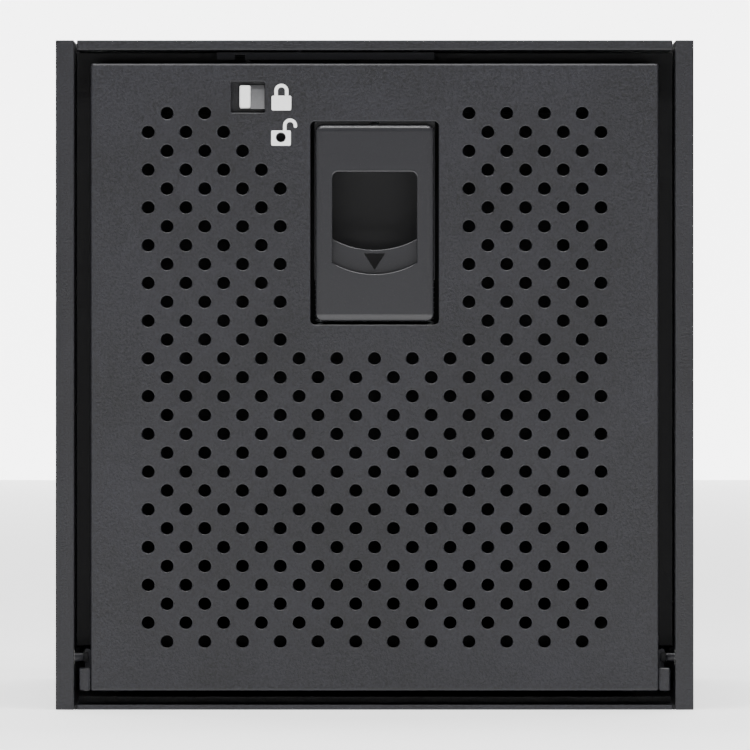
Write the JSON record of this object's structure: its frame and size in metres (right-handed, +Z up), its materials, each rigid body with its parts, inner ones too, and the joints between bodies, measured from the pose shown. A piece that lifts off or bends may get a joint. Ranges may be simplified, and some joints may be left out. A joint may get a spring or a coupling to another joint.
{
  "type": "parcel locker compartment",
  "caption": "Small lockable parcel compartment with a perforated drop-down door, thumb-slide latch, flag lock slide and pin release.",
  "frame": {"origin": "on the floor under the middle of the casing: centre of the bounding box in X and Y, lowest point in Z", "axes": "+X to the right as seen from the front, +Y from the door to the back along the depth, +Z up"},
  "size_m": [0.169, 0.24, 0.1774],
  "materials": {
    "charcoal_plastic": "fine moulded grain, matte",
    "graphite_plastic": "satin moulded",
    "inner_plastic": "matte moulded",
    "zinc_steel": "zinc plated",
    "white_plastic": "satin white",
    "acetal_plastic": "natural acetal",
    "black_steel": "black passivated steel"
  },
  "bodies": {
    "casing": {"left_side_panel": "charcoal_plastic", "right_side_panel": "charcoal_plastic", "top_panel": "charcoal_plastic", "base_panel": "charcoal_plastic", "back_panel": "charcoal_plastic", "floor_shelf": "inner_plastic", "door_frame": "inner_plastic", "frame_bracket_left": "black_steel", "frame_bracket_right": "black_steel", "shelf_rail_left": "black_steel", "shelf_rail_right": "black_steel", "strike_plate": "black_steel", "hinge_bush_left": "acetal_plastic", "hinge_bush_right": "acetal_plastic", "back_screw_lower_left": "zinc_steel", "back_screw_lower_right": "zinc_steel", "back_screw_upper_left": "zinc_steel", "back_screw_upper_right": "zinc_steel", "frame_screw_left": "zinc_steel", "frame_screw_right": "zinc_steel", "bracket_screw_left": "zinc_steel", "bracket_screw_right": "zinc_steel", "rail_screw_left_front": "zinc_steel", "rail_screw_left_back": "zinc_steel", "rail_screw_right_front": "zinc_steel", "rail_screw_right_back": "zinc_steel", "strike_screw_left": "zinc_steel", "strike_screw_right": "zinc_steel"},
    "door": {"door_panel": "charcoal_plastic", "door_liner": "inner_plastic", "hinge_arm_left": "charcoal_plastic", "hinge_arm_right": "charcoal_plastic", "latch_plate": "graphite_plastic", "latch_housing": "inner_plastic", "finger_cup": "inner_plastic", "lock_retainer": "inner_plastic", "release_holder": "inner_plastic", "arm_screw_left": "zinc_steel", "arm_screw_right": "zinc_steel", "liner_screw_lower_left": "zinc_steel", "liner_screw_lower_right": "zinc_steel", "liner_screw_upper_left": "zinc_steel", "liner_screw_upper_right": "zinc_steel", "plate_screw_left": "zinc_steel", "plate_screw_right": "zinc_steel", "housing_screw_left": "zinc_steel", "housing_screw_right": "zinc_steel"},
    "latch": {"latch_slider": "graphite_plastic", "latch_bolt": "black_steel", "bolt_screw": "zinc_steel", "latch_spring_left": "zinc_steel", "latch_spring_right": "zinc_steel"},
    "lock": {"lock_slide": "charcoal_plastic", "lock_flag": "white_plastic"},
    "release": {"release_plunger": "inner_plastic", "release_spring": "zinc_steel"}
  },
  "joints": [
    {"name": "door_hinge", "type": "hinge", "parent": "casing", "child": "door", "pos_m": [0, -0.117, 0.0139], "axis": [1, 0, 0], "range_deg": [0, 90]},
    {"name": "latch_slide", "type": "slide", "parent": "door", "child": "latch", "axis": [0, 0, -1], "range_m": [0, 0.0035], "stiffness_N_per_m": 400, "springref_m": -0.002, "deforming": ["latch_spring_left", "latch_spring_right"]},
    {"name": "lock_slide", "type": "slide", "parent": "door", "child": "lock", "axis": [-1, 0, 0], "range_m": [0, 0.0019]},
    {"name": "release_push", "type": "slide", "parent": "door", "child": "release", "axis": [0, 1, 0], "range_m": [0, 0.0015], "stiffness_N_per_m": 300, "springref_m": -0.001, "deforming": ["release_spring"]}
  ]
}
